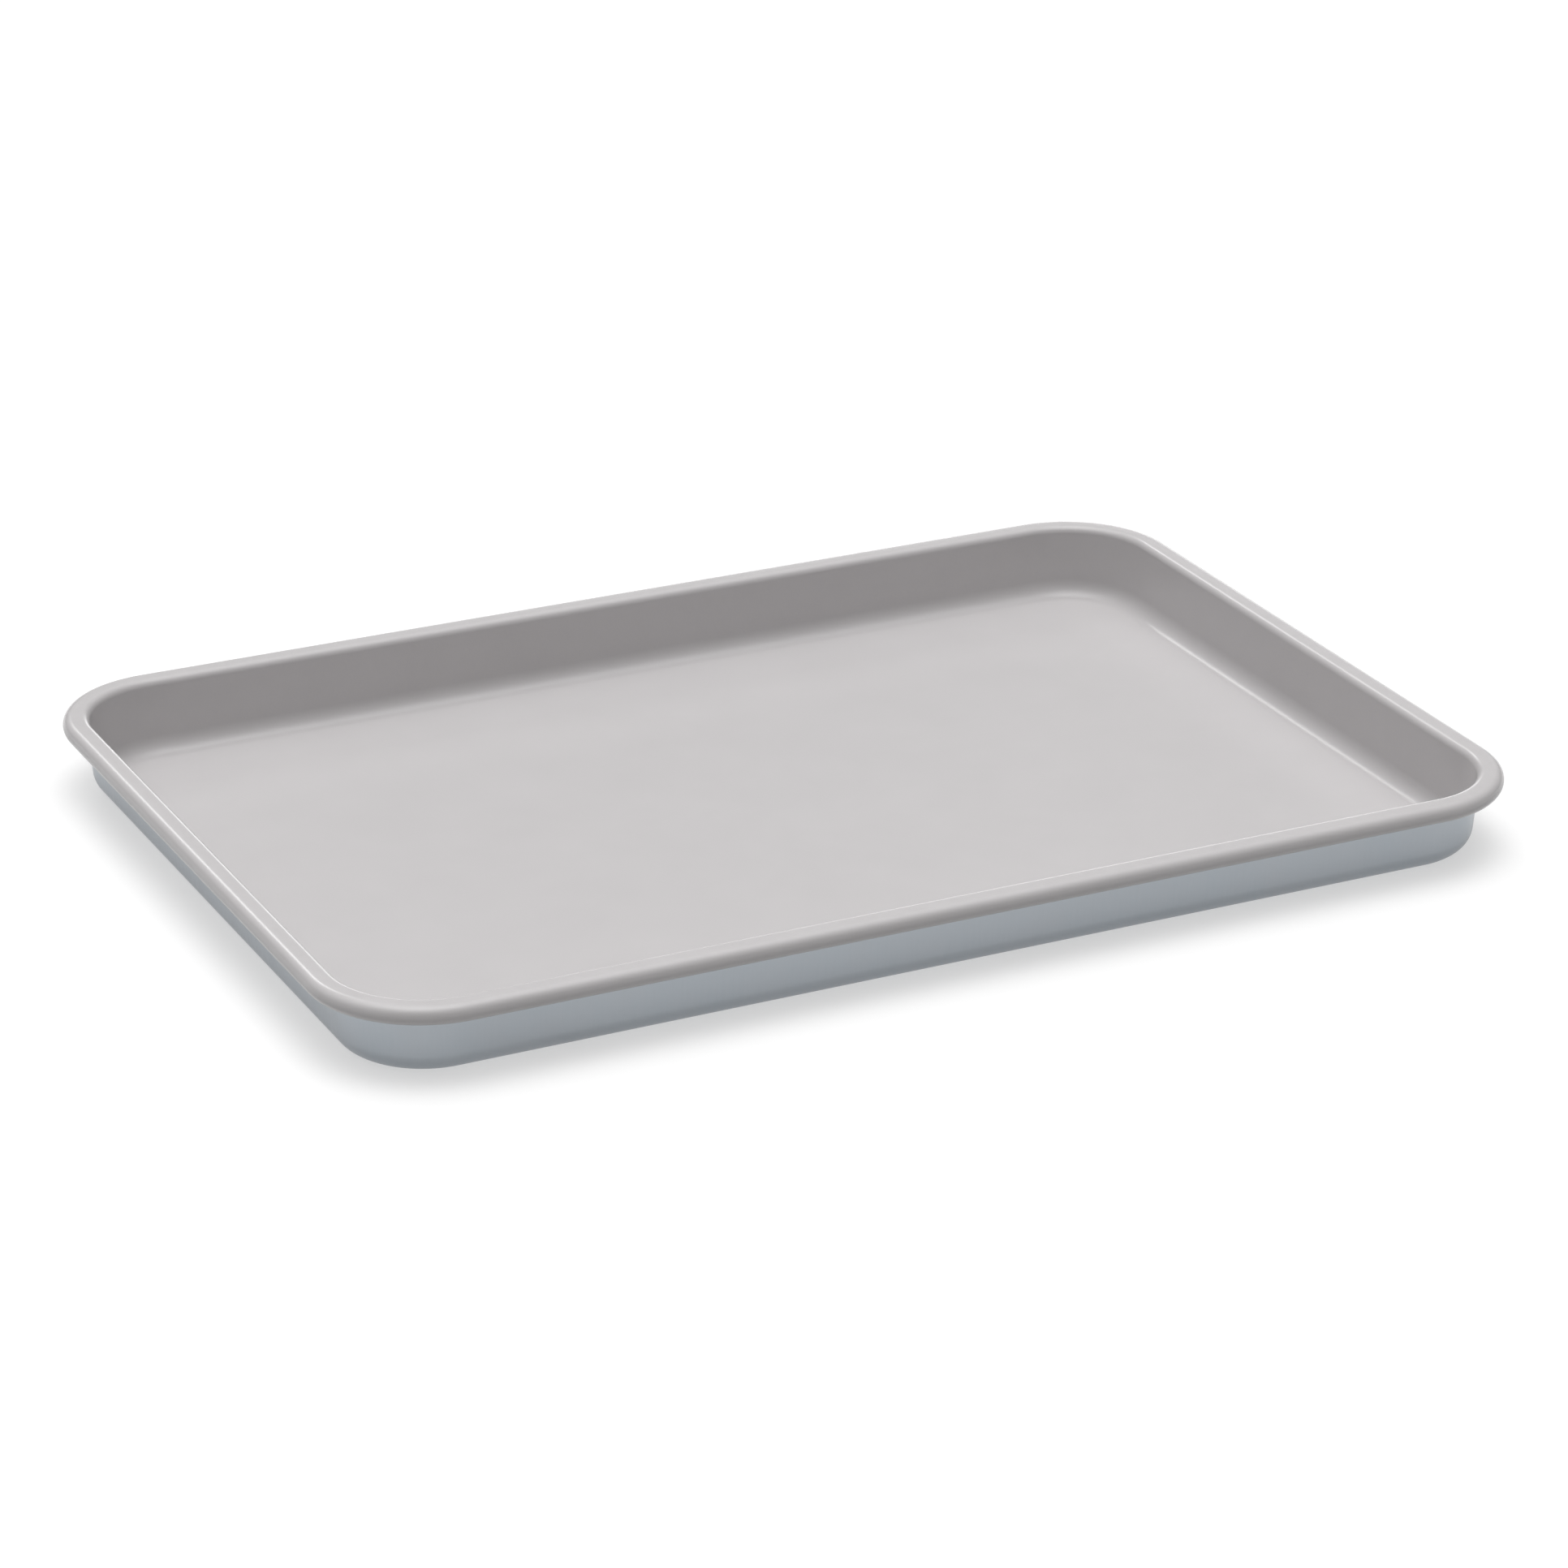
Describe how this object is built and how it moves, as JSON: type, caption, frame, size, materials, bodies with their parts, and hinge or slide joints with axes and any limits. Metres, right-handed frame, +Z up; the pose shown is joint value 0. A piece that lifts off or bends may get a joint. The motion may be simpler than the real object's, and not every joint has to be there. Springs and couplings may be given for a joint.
{
  "type": "jelly roll pan",
  "caption": "Shallow rectangular drawn-steel baking pan with rounded corners, leaning walls, a curled rim over a stiffening wire and a pale non-stick baking side.",
  "frame": {"origin": "centre of the flat base, on the surface that the pan stands on", "axes": "+X along the long sides, +Y along the short sides towards the side with the wire's joint, +Z up out of the pan"},
  "size_m": [0.4108, 0.2838, 0.0264],
  "materials": {
    "aluminised_steel": "satin aluminised steel, cool grey, with faint draw marks",
    "release_coating": "satin baked release coating, pale warm grey, with a fine grain",
    "zinc_plated_wire": "drawn and zinc plated"
  },
  "bodies": {
    "root": {"steel_body": "aluminised_steel", "nonstick_lining": "release_coating", "rim_wire": "zinc_plated_wire"}
  },
  "joints": []
}
